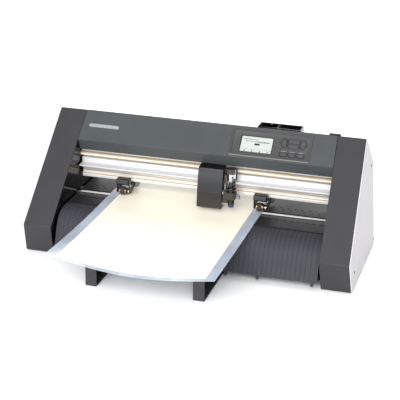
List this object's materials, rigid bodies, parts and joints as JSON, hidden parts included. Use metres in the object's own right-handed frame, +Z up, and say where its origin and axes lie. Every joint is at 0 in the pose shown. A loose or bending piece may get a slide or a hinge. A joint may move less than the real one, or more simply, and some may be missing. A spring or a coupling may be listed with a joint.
{
  "type": "vinyl cutter",
  "caption": "Desktop vinyl cutter: sloped cover with display and keys, tool carriage on an aluminium rail, pinch rollers over a grit roller, and a vinyl sheet on a clear carrier.",
  "frame": {"origin": "middle of the outline on the table: covers, feet and the sheet that reaches out in front", "axes": "+X along the machine to the operator's right, +Y from the operator to the back, +Z up"},
  "size_m": [0.8506, 0.599, 0.3234],
  "materials": {
    "cover_plastic": "fine-textured dark grey moulded plastic",
    "beam_plastic": "satin blue-grey moulded plastic",
    "white_panel": "near-white moulded plastic",
    "black_gloss": "glossy black plastic",
    "black_satin": "satin black plastic",
    "dark_steel": "dark grey powder coat",
    "rail_aluminium": "bright anodised extrusion",
    "plate_aluminium": "brushed aluminium sheet",
    "steel": "bright steel",
    "brass": "turned brass",
    "rubber_black": "black rubber",
    "belt_urethane": "tan toothed urethane belt",
    "key_plastic": "dark grey key caps",
    "display_glass": "pale liquid-crystal display behind glass",
    "circuit_board": "green circuit board",
    "gear_plastic": "natural acetal",
    "carrier_film": "clear tacky carrier film",
    "cream_vinyl": "cream vinyl with a soft sheen",
    "panel_dark": "dark grey control panel"
  },
  "bodies": {
    "machine": {"left_end_cover": "cover_plastic", "right_end_cover": "cover_plastic", "top_cover": "beam_plastic", "rear_cover": "beam_plastic", "left_side_panel": "white_panel", "right_side_panel": "white_panel", "left_side_frame": "black_gloss", "right_side_frame": "black_gloss", "tool_tray": "black_gloss", "platen_front": "black_satin", "platen_deck": "black_satin", "platen_rear": "black_satin", "rear_connectors": "black_satin", "base_pan": "dark_steel", "left_front_leg": "dark_steel", "right_front_leg": "dark_steel", "carriage_motor": "dark_steel", "feed_motor": "dark_steel", "y_bar": "rail_aluminium", "power_supply": "plate_aluminium", "pinch_support_bar": "steel", "left_roller_bush": "brass", "right_roller_bush": "brass", "left_foot_strip": "rubber_black", "right_foot_strip": "rubber_black", "cutting_mat": "rubber_black", "drive_belt": "belt_urethane", "lcd_display": "display_glass", "main_board": "circuit_board", "control_panel": "panel_dark"},
    "carriage": {"carriage_frame": "dark_steel", "carriage_cover": "black_gloss", "tool_plate": "plate_aluminium"},
    "roller_left": {"carriage_roller_left": "steel"},
    "roller_right": {"carriage_roller_right": "steel"},
    "tool": {"tool_arm": "black_satin", "blade_holder": "black_satin"},
    "clamp": {"clamp_screw": "steel"},
    "drive_wheel": {"drive_pulley": "steel"},
    "idler_wheel": {"idler_pulley": "steel"},
    "grit": {"grit_roller": "steel", "roller_gear": "gear_plastic"},
    "pinion": {"motor_pinion": "brass"},
    "media": {"carrier_sheet": "carrier_film", "vinyl_sheet": "cream_vinyl"},
    "left_carrier": {"left_pinch_carrier": "steel"},
    "left_arm": {"left_pinch_arm": "black_satin"},
    "left_wheels": {"left_pinch_wheels": "rubber_black"},
    "right_carrier": {"right_pinch_carrier": "steel"},
    "right_arm": {"right_pinch_arm": "black_satin"},
    "right_wheels": {"right_pinch_wheels": "rubber_black"},
    "lever": {"media_set_lever": "black_satin"},
    "switch": {"power_switch": "black_satin"},
    "key_left": {"key_left": "key_plastic"},
    "key_up": {"key_up": "key_plastic"},
    "key_down": {"key_down": "key_plastic"},
    "key_right": {"key_right": "key_plastic"},
    "key_enter": {"key_enter": "key_plastic"},
    "key_origin": {"key_origin": "key_plastic"},
    "key_pause": {"key_pause": "key_plastic"}
  },
  "joints": [
    {"name": "carriage_slide", "type": "slide", "parent": "machine", "child": "carriage", "axis": [1, 0, 0], "range_m": [-0.33, 0.23]},
    {"name": "roller_left_spin", "type": "hinge", "parent": "carriage", "child": "roller_left", "pos_m": [0.008, 0.1475, 0.1986], "axis": [0, 1, 0], "continuous": true},
    {"name": "roller_right_spin", "type": "hinge", "parent": "carriage", "child": "roller_right", "pos_m": [0.078, 0.1475, 0.1986], "axis": [0, 1, 0], "continuous": true},
    {"name": "drive_pulley_spin", "type": "hinge", "parent": "machine", "child": "drive_wheel", "pos_m": [0.373, 0.1694, 0.213], "axis": [0, 0, 1], "continuous": true},
    {"name": "idler_pulley_spin", "type": "hinge", "parent": "machine", "child": "idler_wheel", "pos_m": [-0.373, 0.1694, 0.213], "axis": [0, 0, 1], "continuous": true},
    {"name": "tool_drop", "type": "slide", "parent": "carriage", "child": "tool", "axis": [0, 0, 1], "range_m": [-0.008, 0], "stiffness_N_per_m": 250, "springref_m": 0.012},
    {"name": "clamp_screw_turn", "type": "hinge", "parent": "tool", "child": "clamp", "pos_m": [0.0944, 0.1155, 0.16], "axis": [1, 0, 0], "range_deg": [0, 540]},
    {"name": "media_feed", "type": "slide", "parent": "machine", "child": "media", "axis": [0, 1, 0], "range_m": [-0.1, 0.02]},
    {"name": "grit_roller_spin", "type": "hinge", "parent": "machine", "child": "grit", "pos_m": [0, 0.1475, 0.1053], "axis": [1, 0, 0], "continuous": true},
    {"name": "pinion_spin", "type": "hinge", "parent": "machine", "child": "pinion", "pos_m": [-0.3705, 0.12115, 0.08544], "axis": [1, 0, 0], "continuous": true},
    {"name": "media_lever_turn", "type": "hinge", "parent": "machine", "child": "lever", "pos_m": [0.311, 0.2695, 0.268], "axis": [-1, 0, 0], "range_deg": [0, 40]},
    {"name": "power_rocker", "type": "hinge", "parent": "machine", "child": "switch", "pos_m": [0.376, 0.29031, 0.084], "axis": [1, 0, 0], "range_deg": [0, 14]},
    {"name": "left_pinch_slide", "type": "slide", "parent": "machine", "child": "left_carrier", "axis": [1, 0, 0], "range_m": [-0.102, 0.113]},
    {"name": "left_pinch_lift", "type": "hinge", "parent": "left_carrier", "child": "left_arm", "pos_m": [-0.216, 0.1875, 0.136], "axis": [-1, 0, 0], "range_deg": [0, 8]},
    {"name": "left_wheel_spin", "type": "hinge", "parent": "left_arm", "child": "left_wheels", "pos_m": [-0.216, 0.1475, 0.1262], "axis": [1, 0, 0], "continuous": true},
    {"name": "right_pinch_slide", "type": "slide", "parent": "machine", "child": "right_carrier", "axis": [1, 0, 0], "range_m": [-0.106, 0.159]},
    {"name": "right_pinch_lift", "type": "hinge", "parent": "right_carrier", "child": "right_arm", "pos_m": [0.153, 0.1875, 0.136], "axis": [-1, 0, 0], "range_deg": [0, 8]},
    {"name": "right_wheel_spin", "type": "hinge", "parent": "right_arm", "child": "right_wheels", "pos_m": [0.153, 0.1475, 0.1262], "axis": [1, 0, 0], "continuous": true},
    {"name": "key_left_press", "type": "slide", "parent": "machine", "child": "key_left", "axis": [0, 0.7099, -0.7043], "range_m": [0, 0.0008], "stiffness_N_per_m": 400},
    {"name": "key_up_press", "type": "slide", "parent": "machine", "child": "key_up", "axis": [0, 0.7099, -0.7043], "range_m": [0, 0.0008], "stiffness_N_per_m": 400},
    {"name": "key_down_press", "type": "slide", "parent": "machine", "child": "key_down", "axis": [0, 0.7099, -0.7043], "range_m": [0, 0.0008], "stiffness_N_per_m": 400},
    {"name": "key_right_press", "type": "slide", "parent": "machine", "child": "key_right", "axis": [0, 0.7099, -0.7043], "range_m": [0, 0.0008], "stiffness_N_per_m": 400},
    {"name": "key_enter_press", "type": "slide", "parent": "machine", "child": "key_enter", "axis": [0, 0.7099, -0.7043], "range_m": [0, 0.0008], "stiffness_N_per_m": 400},
    {"name": "key_origin_press", "type": "slide", "parent": "machine", "child": "key_origin", "axis": [0, 0.7099, -0.7043], "range_m": [0, 0.0008], "stiffness_N_per_m": 400},
    {"name": "key_pause_press", "type": "slide", "parent": "machine", "child": "key_pause", "axis": [0, 0.7099, -0.7043], "range_m": [0, 0.0008], "stiffness_N_per_m": 400}
  ],
  "couplings": [
    {"joint": "roller_left_spin", "follows": "carriage_slide", "rad_per_m": 121.95},
    {"joint": "roller_right_spin", "follows": "carriage_slide", "rad_per_m": 121.95},
    {"joint": "drive_pulley_spin", "follows": "carriage_slide", "rad_per_m": 93.458},
    {"joint": "idler_pulley_spin", "follows": "carriage_slide", "rad_per_m": 93.458},
    {"joint": "grit_roller_spin", "follows": "media_feed", "rad_per_m": -125},
    {"joint": "pinion_spin", "follows": "media_feed", "rad_per_m": 375},
    {"joint": "left_pinch_lift", "follows": "media_lever_turn", "ratio": 0.2},
    {"joint": "left_wheel_spin", "follows": "media_feed", "rad_per_m": 90.909},
    {"joint": "right_pinch_lift", "follows": "media_lever_turn", "ratio": 0.2},
    {"joint": "right_wheel_spin", "follows": "media_feed", "rad_per_m": 90.909}
  ]
}
